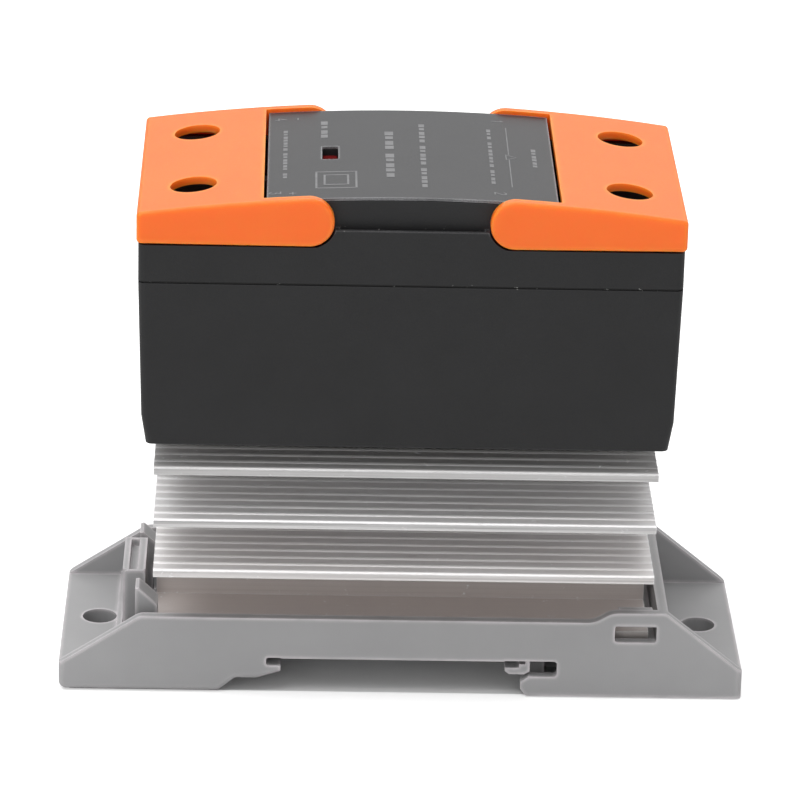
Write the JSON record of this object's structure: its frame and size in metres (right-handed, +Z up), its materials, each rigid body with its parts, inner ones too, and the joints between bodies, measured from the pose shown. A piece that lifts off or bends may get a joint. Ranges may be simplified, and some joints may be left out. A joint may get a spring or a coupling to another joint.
{
  "type": "solid state relay",
  "caption": "Solid state relay on a ribbed heat sink in a DIN-rail base with screw ears, hinged orange terminal covers, clamp screws and a sprung rail catch.",
  "frame": {"origin": "middle of the base's underside", "axes": "+X towards the output terminals, +Y along the mounting rail, away from the viewer, +Z up out of the rail"},
  "size_m": [0.096, 0.042, 0.0746],
  "materials": {
    "grey_plastic": "moulded light grey engineering plastic, satin",
    "orange_plastic": "moulded orange plastic, satin",
    "black_plastic": "moulded black plastic, fine texture",
    "label_film": "dark grey printed film on a thin plate",
    "aluminium": "extruded mill finish, sawn ends",
    "thermal_pad": "soft filled silicone sheet",
    "nickel_plate": "nickel-plated plate",
    "alumina": "white alumina",
    "copper": "bare copper sheet",
    "silicon": "polished silicon",
    "tinned_lead": "tinned copper",
    "zinc_steel": "bright zinc-plated steel",
    "board_green": "glass-epoxy board with green solder mask",
    "brass": "turned brass",
    "component_black": "moulded epoxy package",
    "capacitor_yellow": "boxed film capacitor",
    "resistor_tan": "lacquered film resistors",
    "lens_red": "dark red transparent acrylic",
    "spring_steel": "music wire"
  },
  "bodies": {
    "base": {"din_base": "grey_plastic", "heatsink": "aluminium", "thermal_pad": "thermal_pad", "base_plate": "nickel_plate", "ceramic_substrate": "alumina", "copper_tracks": "copper", "thyristor_chips": "silicon", "copper_straps": "copper", "gate_leads": "tinned_lead", "lower_housing": "black_plastic", "module_screws": "zinc_steel", "upper_housing": "black_plastic", "label_plate": "label_film", "output_busbar_1": "tinned_lead", "output_busbar_2": "tinned_lead", "control_busbar_3": "tinned_lead", "control_busbar_4": "tinned_lead", "terminal_nuts": "zinc_steel", "circuit_board": "board_green", "board_pillars": "brass", "board_screws": "zinc_steel", "optocoupler": "component_black", "snubber_capacitor": "capacitor_yellow", "resistors": "resistor_tan", "trigger_triac": "component_black", "indicator_led": "lens_red", "light_guide": "lens_red", "din_clip_spring": "spring_steel"},
    "rail_catch": {"din_clip": "grey_plastic"},
    "control_cover": {"control_terminal_cover": "orange_plastic"},
    "output_cover": {"output_terminal_cover": "orange_plastic"},
    "clamp_1": {"clamp_plate_1": "zinc_steel"},
    "screw_1": {"terminal_screw_1": "zinc_steel"},
    "clamp_2": {"clamp_plate_2": "zinc_steel"},
    "screw_2": {"terminal_screw_2": "zinc_steel"},
    "clamp_3": {"clamp_plate_3": "zinc_steel"},
    "screw_3": {"terminal_screw_3": "zinc_steel"},
    "clamp_4": {"clamp_plate_4": "zinc_steel"},
    "screw_4": {"terminal_screw_4": "zinc_steel"}
  },
  "joints": [
    {"name": "rail_catch_slide", "type": "slide", "parent": "base", "child": "rail_catch", "axis": [1, 0, 0], "range_m": [0, 0.0035], "stiffness_N_per_m": 900, "springref_m": -0.003, "deforming": ["din_clip_spring"]},
    {"name": "control_cover_hinge", "type": "hinge", "parent": "base", "child": "control_cover", "pos_m": [-0.0139, 0, 0.07125], "axis": [0, 1, 0], "range_deg": [0, 105]},
    {"name": "output_cover_hinge", "type": "hinge", "parent": "base", "child": "output_cover", "pos_m": [0.0139, 0, 0.07125], "axis": [0, -1, 0], "range_deg": [0, 105]},
    {"name": "clamp_1_lift", "type": "slide", "parent": "base", "child": "clamp_1", "axis": [0, 0, 1], "range_m": [0, 0.0021]},
    {"name": "screw_1_turn", "type": "hinge", "parent": "clamp_1", "child": "screw_1", "pos_m": [0.0297, 0.0114, 0.06535], "axis": [0, 0, 1], "range_deg": [0, 1080.5]},
    {"name": "clamp_2_lift", "type": "slide", "parent": "base", "child": "clamp_2", "axis": [0, 0, 1], "range_m": [0, 0.0021]},
    {"name": "screw_2_turn", "type": "hinge", "parent": "clamp_2", "child": "screw_2", "pos_m": [0.0297, -0.0114, 0.06535], "axis": [0, 0, 1], "range_deg": [0, 1080.5]},
    {"name": "clamp_3_lift", "type": "slide", "parent": "base", "child": "clamp_3", "axis": [0, 0, 1], "range_m": [0, 0.0021]},
    {"name": "screw_3_turn", "type": "hinge", "parent": "clamp_3", "child": "screw_3", "pos_m": [-0.0297, -0.0114, 0.06535], "axis": [0, 0, 1], "range_deg": [0, 1080.5]},
    {"name": "clamp_4_lift", "type": "slide", "parent": "base", "child": "clamp_4", "axis": [0, 0, 1], "range_m": [0, 0.0021]},
    {"name": "screw_4_turn", "type": "hinge", "parent": "clamp_4", "child": "screw_4", "pos_m": [-0.0297, 0.0114, 0.06535], "axis": [0, 0, 1], "range_deg": [0, 1080.5]}
  ],
  "couplings": [
    {"joint": "screw_1_turn", "follows": "clamp_1_lift", "rad_per_m": 8976},
    {"joint": "screw_2_turn", "follows": "clamp_2_lift", "rad_per_m": 8976},
    {"joint": "screw_3_turn", "follows": "clamp_3_lift", "rad_per_m": 8976},
    {"joint": "screw_4_turn", "follows": "clamp_4_lift", "rad_per_m": 8976}
  ]
}
